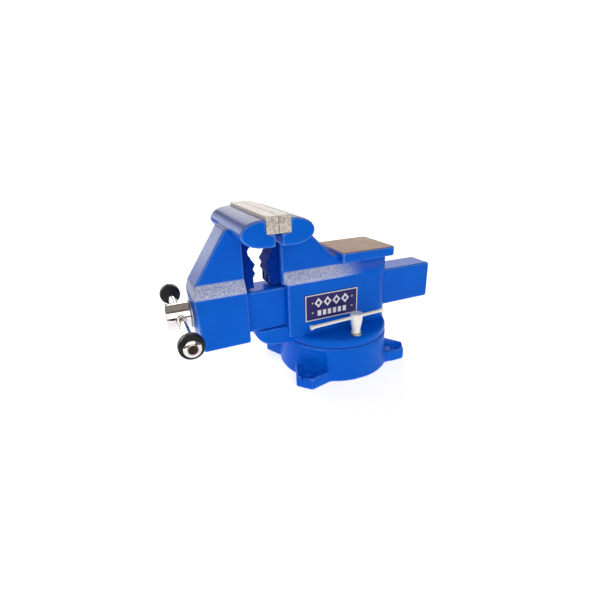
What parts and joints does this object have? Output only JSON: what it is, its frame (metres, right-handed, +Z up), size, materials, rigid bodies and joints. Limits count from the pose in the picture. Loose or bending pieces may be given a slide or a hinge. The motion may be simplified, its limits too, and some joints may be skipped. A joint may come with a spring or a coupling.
{
  "type": "bench and pipe vise",
  "caption": "Bench and pipe vise on a swivel base, with a hollow slide, replaceable jaw inserts, toothed pipe jaws, an anvil and a bar handle.",
  "frame": {"origin": "on the swivel axis at the foot plane of the base", "axes": "+Z up, +X towards the tail of the slide, -X towards the spindle head, -Y the side with the nameplate"},
  "size_m": [0.4427, 0.225, 0.261],
  "materials": {
    "blue_enamel": "gloss",
    "bare_steel": "satin",
    "chrome": "polished",
    "black_rubber": "satin",
    "ground_steel": "ground",
    "nut_bronze": "machined",
    "plate_ink": "satin",
    "pale_zinc": "satin"
  },
  "bodies": {
    "base": {"base_casting": "blue_enamel"},
    "turret": {"static_jaw_casting": "blue_enamel", "rear_insert": "ground_steel", "rear_insert_screws": "bare_steel", "rear_pipe_jaw": "blue_enamel", "rear_pipe_jaw_screws": "bare_steel", "spindle_nut": "nut_bronze", "nut_bolt": "bare_steel", "nameplate": "plate_ink", "nameplate_rivets": "bare_steel", "lock_stud_near": "bare_steel", "lock_stud_far": "bare_steel", "lock_washer_near": "bare_steel", "lock_washer_far": "bare_steel"},
    "moving_jaw": {"front_jaw_casting": "blue_enamel", "front_insert": "ground_steel", "front_insert_screws": "bare_steel", "front_pipe_jaw": "blue_enamel", "front_pipe_jaw_screws": "bare_steel", "thrust_washer": "bare_steel", "return_spring": "bare_steel"},
    "spindle": {"main_spindle": "chrome", "spring_washer": "bare_steel", "retaining_pin": "bare_steel"},
    "handle": {"handle_bar": "chrome", "handle_ring_near": "black_rubber", "handle_ring_far": "black_rubber", "handle_cap_near": "chrome", "handle_cap_far": "chrome"},
    "near_lock": {"lock_nut_near": "pale_zinc"},
    "near_lock_bar": {"lock_bar_near": "pale_zinc"},
    "far_lock": {"lock_nut_far": "pale_zinc"},
    "far_lock_bar": {"lock_bar_far": "pale_zinc"}
  },
  "joints": [
    {"name": "swivel", "type": "hinge", "parent": "base", "child": "turret", "pos_m": [0, 0, 0.054], "axis": [0, 0, 1], "continuous": true},
    {"name": "spindle_turn", "type": "hinge", "parent": "moving_jaw", "child": "spindle", "pos_m": [-0.24, 0, 0.122], "axis": [-1, 0, 0], "range_deg": [-50.4, 10944]},
    {"name": "jaw_slide", "type": "slide", "parent": "turret", "child": "moving_jaw", "axis": [-1, 0, 0], "range_m": [-0.0007, 0.152]},
    {"name": "handle_slide", "type": "slide", "parent": "spindle", "child": "handle", "axis": [0, 1, 0], "range_m": [-0.074, 0.074]},
    {"name": "near_lock_turn", "type": "hinge", "parent": "turret", "child": "near_lock", "pos_m": [0, -0.072, 0.1], "axis": [0, 0, 1], "range_deg": [-24, 34]},
    {"name": "near_lock_bar_slide", "type": "slide", "parent": "near_lock", "child": "near_lock_bar", "axis": [-0.9986, -0.0523, 0], "range_m": [-0.062, 0.032]},
    {"name": "far_lock_turn", "type": "hinge", "parent": "turret", "child": "far_lock", "pos_m": [0, 0.072, 0.1], "axis": [0, 0, -1], "range_deg": [-24, 34]},
    {"name": "far_lock_bar_slide", "type": "slide", "parent": "far_lock", "child": "far_lock_bar", "axis": [-0.9986, 0.0523, 0], "range_m": [-0.062, 0.032]}
  ],
  "couplings": [
    {"joint": "jaw_slide", "follows": "spindle_turn", "m_per_rad": 0.00079577}
  ]
}
